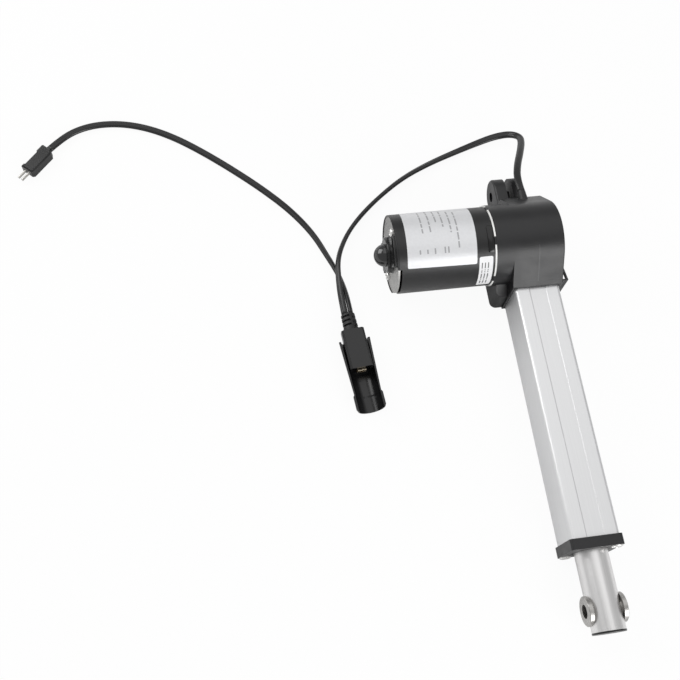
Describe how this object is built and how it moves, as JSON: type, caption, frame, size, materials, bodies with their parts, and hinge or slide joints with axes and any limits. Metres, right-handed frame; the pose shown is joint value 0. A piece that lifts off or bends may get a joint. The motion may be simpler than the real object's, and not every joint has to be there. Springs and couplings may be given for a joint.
{
  "type": "electric linear actuator",
  "caption": "Electric linear actuator: a side motor and worm gearbox turn a spindle that pushes a round rod out of a square tube, with a rear clevis, a rod cross bush and plug-in leads.",
  "frame": {"origin": "middle of the rear clevis: on the axis of its pin hole, midway between its outer faces", "axes": "+X along the clevis pin, away from the motor; +Y towards the rear, so the rod leaves along -Y; +Z away from the flat back"},
  "size_m": [0.4409, 0.482, 0.0705],
  "materials": {
    "housing_plastic": "fine matt texture",
    "tube_aluminium": "clear anodised, satin",
    "rod_steel": "ground, satin",
    "bright_steel": "zinc plated",
    "plate_steel": "plated sheet",
    "screw_steel": "oiled",
    "bearing_steel": "polished",
    "motor_paint": "satin black",
    "white_plastic": "natural white",
    "bearing_plastic": "natural",
    "gear_plastic": "natural",
    "black_plastic": "satin",
    "black_rubber": "matt",
    "cable_jacket": "satin",
    "contact_brass": "plated",
    "spring_brass": "plain",
    "bush_bronze": "sintered",
    "copper_wire": "enamelled copper",
    "core_steel": "laminated",
    "ferrite": "sintered",
    "carbon": "pressed",
    "circuit_board": "coated"
  },
  "bodies": {
    "housing": {"gear_housing": "housing_plastic", "outer_tube": "tube_aluminium", "tube_end_cap": "housing_plastic", "end_cap_screws": "bright_steel", "rod_guide_bush": "bearing_plastic", "rod_wiper": "black_rubber", "limit_switch_board": "circuit_board", "limit_switches": "black_plastic", "motor_can": "motor_paint", "adapter_ring": "white_plastic", "motor_front_plate": "plate_steel", "front_bearing": "bearing_steel", "rear_bearing": "bearing_steel", "motor_magnets": "ferrite", "brushes": "carbon", "brush_springs": "spring_brass", "motor_end_plate": "plate_steel", "brush_bridge": "black_plastic", "shaft_cap": "black_plastic", "motor_end_screws": "bright_steel", "worm_end_bush": "bush_bronze", "spindle_bearing": "bearing_steel", "spindle_bearing_plate": "plate_steel", "cable_boot": "black_rubber", "motor_cable": "cable_jacket", "socket_strain_relief": "black_rubber", "socket_body": "black_plastic", "socket_shell": "black_plastic", "socket_contacts": "contact_brass", "plug_cable": "cable_jacket", "plug_body": "black_plastic", "plug_pins": "contact_brass"},
    "spindle": {"spindle": "screw_steel", "worm_wheel": "gear_plastic", "wheel_circlip": "screw_steel", "spindle_lock_nut": "bright_steel", "spindle_end_ring": "bearing_plastic", "spindle_end_screw": "bright_steel"},
    "rod": {"rod_tube": "rod_steel", "drive_nut": "gear_plastic", "rod_bush": "bright_steel"},
    "armature": {"armature_shaft": "screw_steel", "worm": "screw_steel", "armature_core": "core_steel", "armature_windings": "copper_wire", "commutator": "copper_wire"}
  },
  "joints": [
    {"name": "armature_spin", "type": "hinge", "parent": "housing", "child": "armature", "pos_m": [0, -0.0548, 0.0175], "axis": [1, 0, 0], "range_deg": [0, 216000]},
    {"name": "spindle_spin", "type": "hinge", "parent": "housing", "child": "spindle", "pos_m": [0.0025, 0, 0], "axis": [0, -1, 0], "range_deg": [0, 9000]},
    {"name": "rod_slide", "type": "slide", "parent": "housing", "child": "rod", "axis": [0, -1, 0], "range_m": [0, 0.15]}
  ],
  "couplings": [
    {"joint": "spindle_spin", "follows": "armature_spin", "ratio": 0.041667},
    {"joint": "rod_slide", "follows": "armature_spin", "m_per_rad": 0.000039789}
  ]
}
